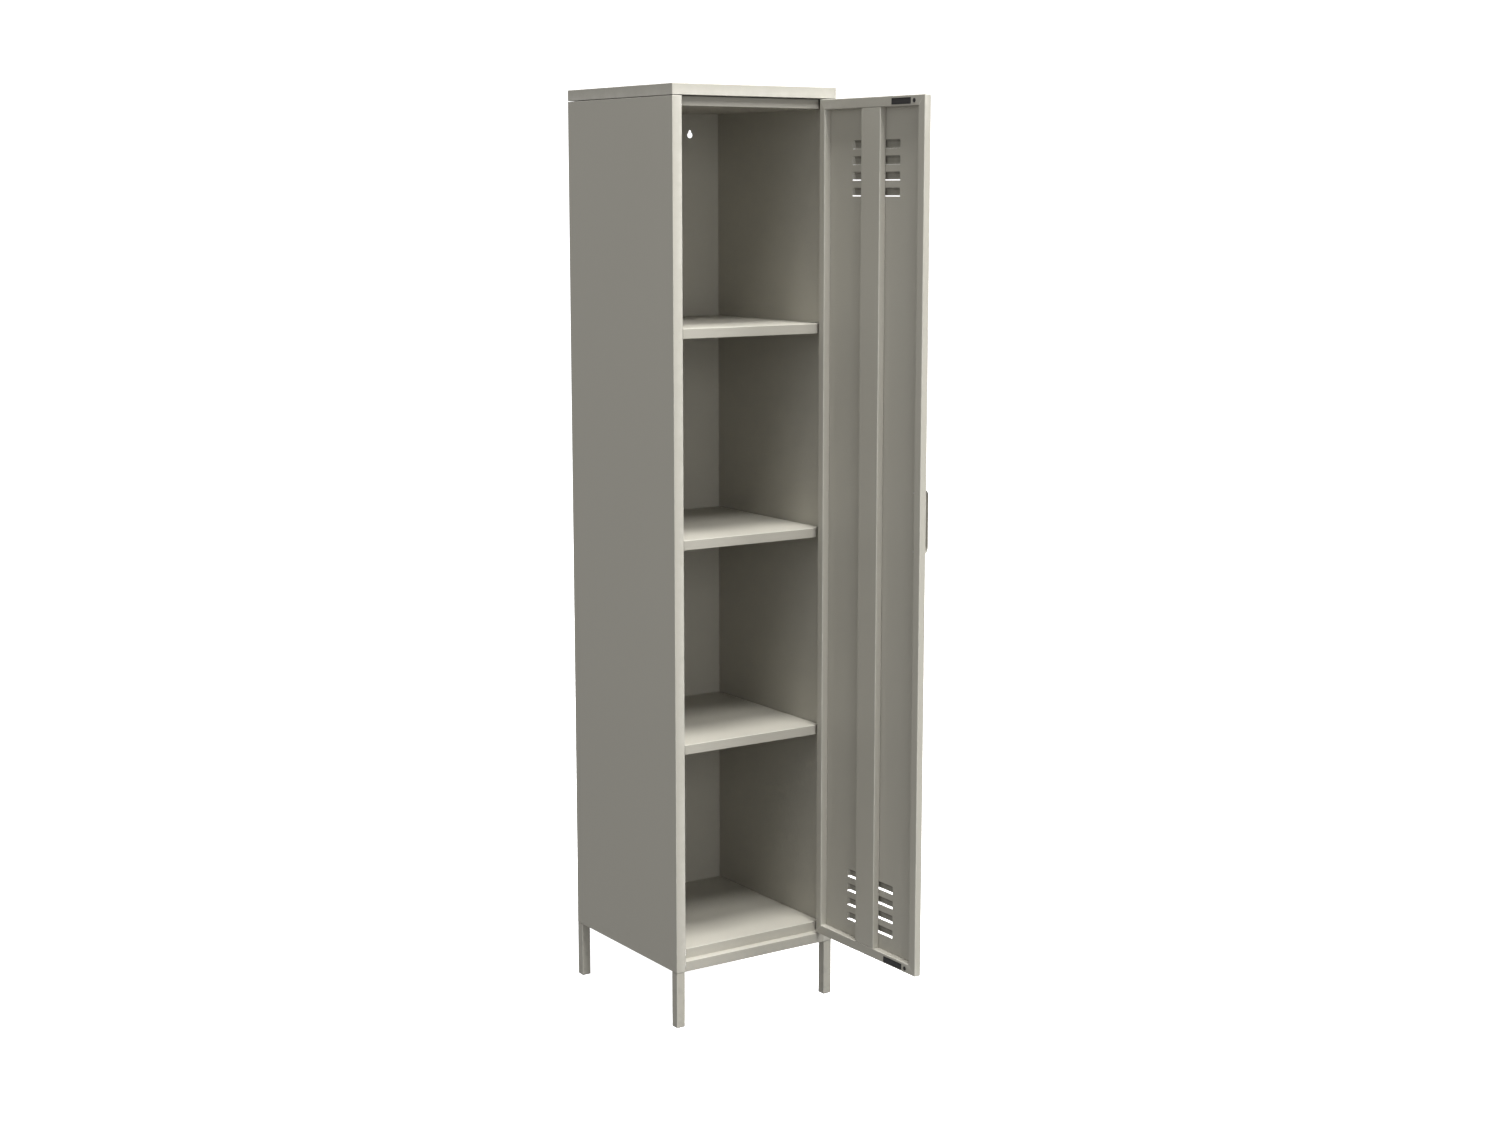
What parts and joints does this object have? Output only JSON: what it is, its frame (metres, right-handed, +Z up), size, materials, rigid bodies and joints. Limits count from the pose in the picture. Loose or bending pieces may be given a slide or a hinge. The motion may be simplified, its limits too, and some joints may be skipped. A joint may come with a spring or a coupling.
{
  "type": "school locker",
  "caption": "Tall narrow sheet-steel locker on square legs: shelves inside and one hinged louvred door with a bow handle and magnetic catches.",
  "frame": {"origin": "on the floor, below the middle of the locker's box with its door standing open at a right angle", "axes": "+Z up, -Y towards the person who opens the door, +X to the right seen from there, where the door's hinges are"},
  "size_m": [0.378, 0.7304, 1.85],
  "materials": {
    "powder_coat": "warm taupe grey powder coat, fine texture, satin",
    "zinc_steel": "bright zinc plating, satin",
    "magnet_black": "black moulded housing, satin",
    "black_rubber": "matt black rubber",
    "foot_plastic": "matt grey moulded plastic"
  },
  "bodies": {
    "cabinet": {"side_panel_left": "powder_coat", "side_panel_right": "powder_coat", "side_liner_left": "powder_coat", "side_liner_right": "powder_coat", "back_panel": "powder_coat", "top_cap": "powder_coat", "ceiling_panel": "powder_coat", "floor_panel": "powder_coat", "base_rail_front": "powder_coat", "base_rail_rear": "powder_coat", "shelf_lower": "powder_coat", "shelf_middle": "powder_coat", "shelf_upper": "powder_coat", "shelf_clip_lower_front_left": "zinc_steel", "shelf_clip_lower_rear_left": "zinc_steel", "shelf_clip_lower_front_right": "zinc_steel", "shelf_clip_lower_rear_right": "zinc_steel", "shelf_clip_middle_front_left": "zinc_steel", "shelf_clip_middle_rear_left": "zinc_steel", "shelf_clip_middle_front_right": "zinc_steel", "shelf_clip_middle_rear_right": "zinc_steel", "shelf_clip_upper_front_left": "zinc_steel", "shelf_clip_upper_rear_left": "zinc_steel", "shelf_clip_upper_front_right": "zinc_steel", "shelf_clip_upper_rear_right": "zinc_steel", "leg_front_left": "powder_coat", "leg_front_right": "powder_coat", "leg_rear_left": "powder_coat", "leg_rear_right": "powder_coat", "foot_cap_front_left": "foot_plastic", "foot_cap_front_right": "foot_plastic", "foot_cap_rear_left": "foot_plastic", "foot_cap_rear_right": "foot_plastic", "leg_bolt_front_left": "zinc_steel", "leg_bolt_front_right": "zinc_steel", "leg_bolt_rear_left": "zinc_steel", "leg_bolt_rear_right": "zinc_steel", "hinge_body_leaf_bottom": "powder_coat", "hinge_body_leaf_middle": "powder_coat", "hinge_body_leaf_top": "powder_coat", "hinge_pin_bottom": "zinc_steel", "hinge_pin_middle": "zinc_steel", "hinge_pin_top": "zinc_steel"},
    "door": {"door_panel": "powder_coat", "door_stiffener": "powder_coat", "door_magnet_bottom": "magnet_black", "door_magnet_top": "magnet_black", "door_buffer_bottom": "black_rubber", "door_buffer_top": "black_rubber", "handle": "powder_coat", "handle_screw_lower": "zinc_steel", "handle_screw_upper": "zinc_steel", "hinge_door_leaf_bottom": "powder_coat", "hinge_door_leaf_middle": "powder_coat", "hinge_door_leaf_top": "powder_coat"}
  },
  "joints": [
    {"name": "door_hinge", "type": "hinge", "parent": "cabinet", "child": "door", "pos_m": [0.1651, -0.03425, 0.93], "axis": [0, 0, 1], "range_deg": [-90, 80]}
  ]
}
